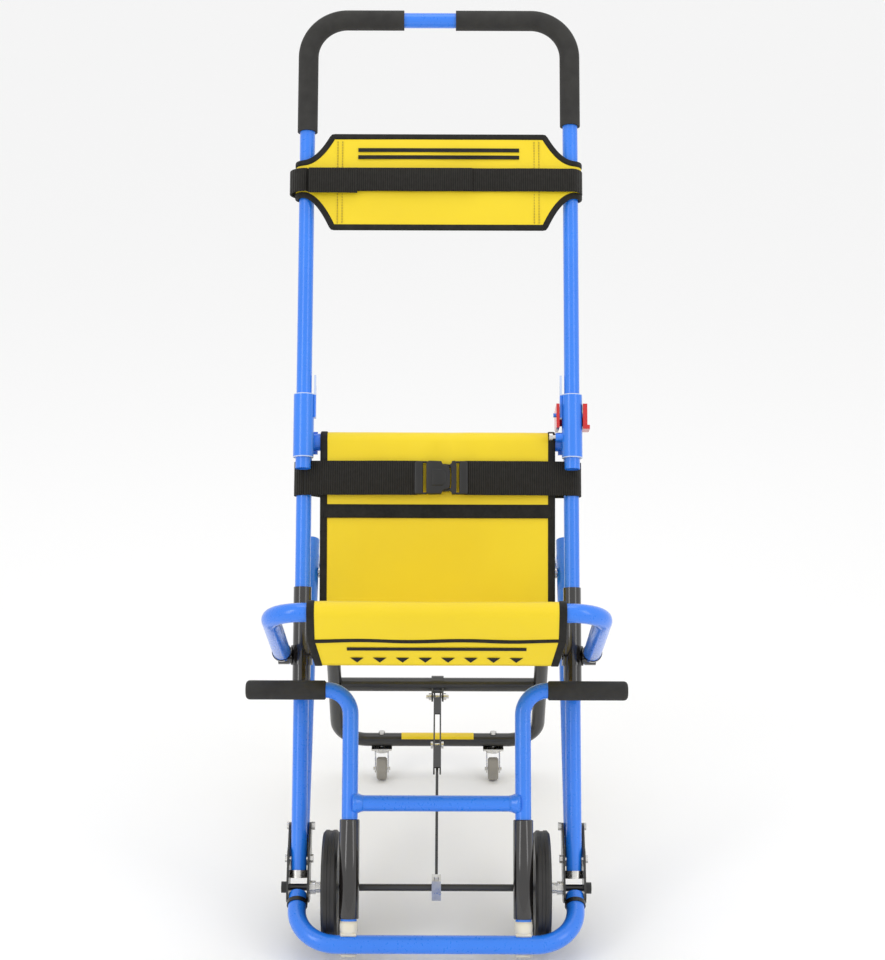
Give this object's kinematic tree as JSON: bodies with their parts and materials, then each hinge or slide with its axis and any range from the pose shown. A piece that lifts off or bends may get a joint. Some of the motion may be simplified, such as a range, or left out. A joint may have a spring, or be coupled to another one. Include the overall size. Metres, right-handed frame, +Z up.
{
  "type": "stair chair",
  "caption": "Folding stair evacuation chair on an aluminium tube frame, with a yellow sling seat, sliding push handle, lift handle, kickstand on castors and rear belt tracks",
  "frame": {"origin": "on the floor, in the middle of the chair's width and depth at rest", "axes": "+Z up; the chair faces -Y; +X is the right-hand side seen from the front"},
  "size_m": [0.534, 0.6784, 1.2577],
  "materials": {
    "blue_paint": "glossy blue powder coat on aluminium tube",
    "black_paint": "satin black powder coat",
    "zinc": "bright zinc plate",
    "foam": "fine closed-cell foam",
    "gloss_black": "smooth glossy black plastic",
    "black_plastic": "fine moulded grain",
    "belt_rubber": "ribbed rubber belt",
    "wheel_rubber": "smooth black rubber",
    "grey_rubber": "grey thermoplastic rubber",
    "yellow_cloth": "coated cloth with a soft sheen",
    "webbing": "ribbed woven webbing",
    "red_plastic": "glossy moulded plastic",
    "nylon": "natural nylon",
    "yellow_label": "plain printed strip"
  },
  "bodies": {
    "frame": {"main_tube_left": "blue_paint", "main_tube_right": "blue_paint", "slide_sleeve_left": "blue_paint", "slide_sleeve_right": "blue_paint", "back_cross_tube": "blue_paint", "tube_cover_left": "gloss_black", "tube_cover_right": "gloss_black", "tube_end_rings": "zinc", "track_rail_left": "blue_paint", "track_rail_right": "blue_paint", "track_belt_left": "belt_rubber", "track_belt_right": "belt_rubber", "pulley_pins": "zinc", "foot_bar": "blue_paint", "foot_bar_rings": "black_plastic", "side_plates": "black_paint", "plate_bolts": "zinc", "axle": "black_paint", "axle_bushes": "zinc", "axle_caps": "black_plastic", "seat_pivot_brackets": "gloss_black", "seat_pivot_bolts": "zinc", "sling_back_panel": "yellow_cloth", "lap_belt": "webbing", "buckle_socket": "black_plastic", "buckle_tongue": "black_plastic", "kickstand_pivot_bolts": "zinc"},
    "handle": {"handle_frame": "blue_paint", "handle_grip_left": "foam", "handle_grip_right": "foam", "head_panel": "yellow_cloth", "head_strap": "webbing"},
    "latch": {"latch_lever": "red_plastic"},
    "plunger": {"latch_plunger": "zinc"},
    "seat": {"seat_bar": "blue_paint", "arm_end_fittings": "gloss_black", "sling_seat_panel": "yellow_cloth"},
    "kickstand": {"kickstand_frame": "black_paint", "kickstand_strip": "yellow_label", "strut_clevis": "black_paint", "clevis_bolt": "zinc", "castor_plates": "zinc"},
    "strut_front": {"strut_lower": "black_paint"},
    "strut_rear": {"strut_upper": "black_paint", "strut_bolt": "zinc"},
    "swivel_left": {"castor_fork_left": "zinc"},
    "swivel_right": {"castor_fork_right": "zinc"},
    "castor_left": {"castor_wheel_left": "grey_rubber"},
    "castor_right": {"castor_wheel_right": "grey_rubber"},
    "lift": {"lift_frame": "blue_paint", "lift_grips": "foam", "lift_knuckles": "nylon"},
    "wheel_left": {"wheel_hub_left": "black_plastic", "tyre_left": "wheel_rubber"},
    "wheel_right": {"wheel_hub_right": "black_plastic", "tyre_right": "wheel_rubber"},
    "belt_drive_upper_left": {"upper_pulley_left": "black_plastic"},
    "belt_drive_upper_right": {"upper_pulley_right": "black_plastic"},
    "belt_drive_lower_left": {"lower_pulley_left": "black_plastic"},
    "belt_drive_lower_right": {"lower_pulley_right": "black_plastic"}
  },
  "joints": [
    {"name": "handle_slide", "type": "slide", "parent": "frame", "child": "handle", "axis": [0, -0.4226, -0.9063], "range_m": [0, 0.25]},
    {"name": "latch_press", "type": "hinge", "parent": "frame", "child": "latch", "pos_m": [0.194, 0.02868, 0.70003], "axis": [1, 0, 0], "range_deg": [0, 12], "stiffness_Nm_per_rad": 0.6, "springref_deg": -17.19},
    {"name": "plunger_travel", "type": "slide", "parent": "frame", "child": "plunger", "axis": [-1, 0, 0], "range_m": [0, 0.0042]},
    {"name": "seat_fold", "type": "hinge", "parent": "frame", "child": "seat", "pos_m": [0, -0.09398, 0.37546], "axis": [-1, 0, 0], "range_deg": [0, 69]},
    {"name": "kickstand_fold", "type": "hinge", "parent": "frame", "child": "kickstand", "pos_m": [0, 0.10863, 0.43248], "axis": [-1, 0, 0], "range_deg": [0, 60]},
    {"name": "strut_front_pivot", "type": "hinge", "parent": "frame", "child": "strut_front", "pos_m": [0, -0.23175, 0.08], "axis": [1, 0, 0], "range_deg": [0, 32.8]},
    {"name": "strut_rear_pivot", "type": "hinge", "parent": "kickstand", "child": "strut_rear", "pos_m": [0, 0.23025, 0.181], "axis": [1, 0, 0], "range_deg": [-68.2, 0]},
    {"name": "lift_handle_fold", "type": "hinge", "parent": "frame", "child": "lift", "pos_m": [0, -0.32175, 0.04], "axis": [1, 0, 0], "range_deg": [0, 100]},
    {"name": "castor_swivel_left", "type": "hinge", "parent": "kickstand", "child": "swivel_left", "pos_m": [-0.093, 0.32425, 0.04], "axis": [0, 0, 1], "continuous": true},
    {"name": "castor_spin_left", "type": "hinge", "parent": "swivel_left", "child": "castor_left", "pos_m": [-0.093, 0.31225, 0.019], "axis": [1, 0, 0], "continuous": true},
    {"name": "wheel_spin_left", "type": "hinge", "parent": "frame", "child": "wheel_left", "pos_m": [-0.147, -0.23175, 0.08], "axis": [1, 0, 0], "continuous": true},
    {"name": "pulley_spin_lower_left", "type": "hinge", "parent": "frame", "child": "belt_drive_lower_left", "pos_m": [-0.194, -0.16422, 0.10098], "axis": [1, 0, 0], "continuous": true},
    {"name": "pulley_spin_upper_left", "type": "hinge", "parent": "frame", "child": "belt_drive_upper_left", "pos_m": [-0.194, 0.15393, 0.43044], "axis": [1, 0, 0], "continuous": true},
    {"name": "castor_swivel_right", "type": "hinge", "parent": "kickstand", "child": "swivel_right", "pos_m": [0.093, 0.32425, 0.04], "axis": [0, 0, 1], "continuous": true},
    {"name": "castor_spin_right", "type": "hinge", "parent": "swivel_right", "child": "castor_right", "pos_m": [0.093, 0.31225, 0.019], "axis": [1, 0, 0], "continuous": true},
    {"name": "wheel_spin_right", "type": "hinge", "parent": "frame", "child": "wheel_right", "pos_m": [0.147, -0.23175, 0.08], "axis": [1, 0, 0], "continuous": true},
    {"name": "pulley_spin_lower_right", "type": "hinge", "parent": "frame", "child": "belt_drive_lower_right", "pos_m": [0.194, -0.16422, 0.10098], "axis": [1, 0, 0], "continuous": true},
    {"name": "pulley_spin_upper_right", "type": "hinge", "parent": "frame", "child": "belt_drive_upper_right", "pos_m": [0.194, 0.15393, 0.43044], "axis": [1, 0, 0], "continuous": true}
  ],
  "couplings": [
    {"joint": "plunger_travel", "follows": "latch_press", "m_per_rad": 0.0193},
    {"joint": "strut_front_pivot", "follows": "kickstand_fold", "ratio": 0.54442},
    {"joint": "strut_rear_pivot", "follows": "kickstand_fold", "ratio": -1.1335},
    {"joint": "pulley_spin_upper_left", "follows": "pulley_spin_lower_left", "ratio": 1},
    {"joint": "pulley_spin_upper_right", "follows": "pulley_spin_lower_right", "ratio": 1}
  ]
}
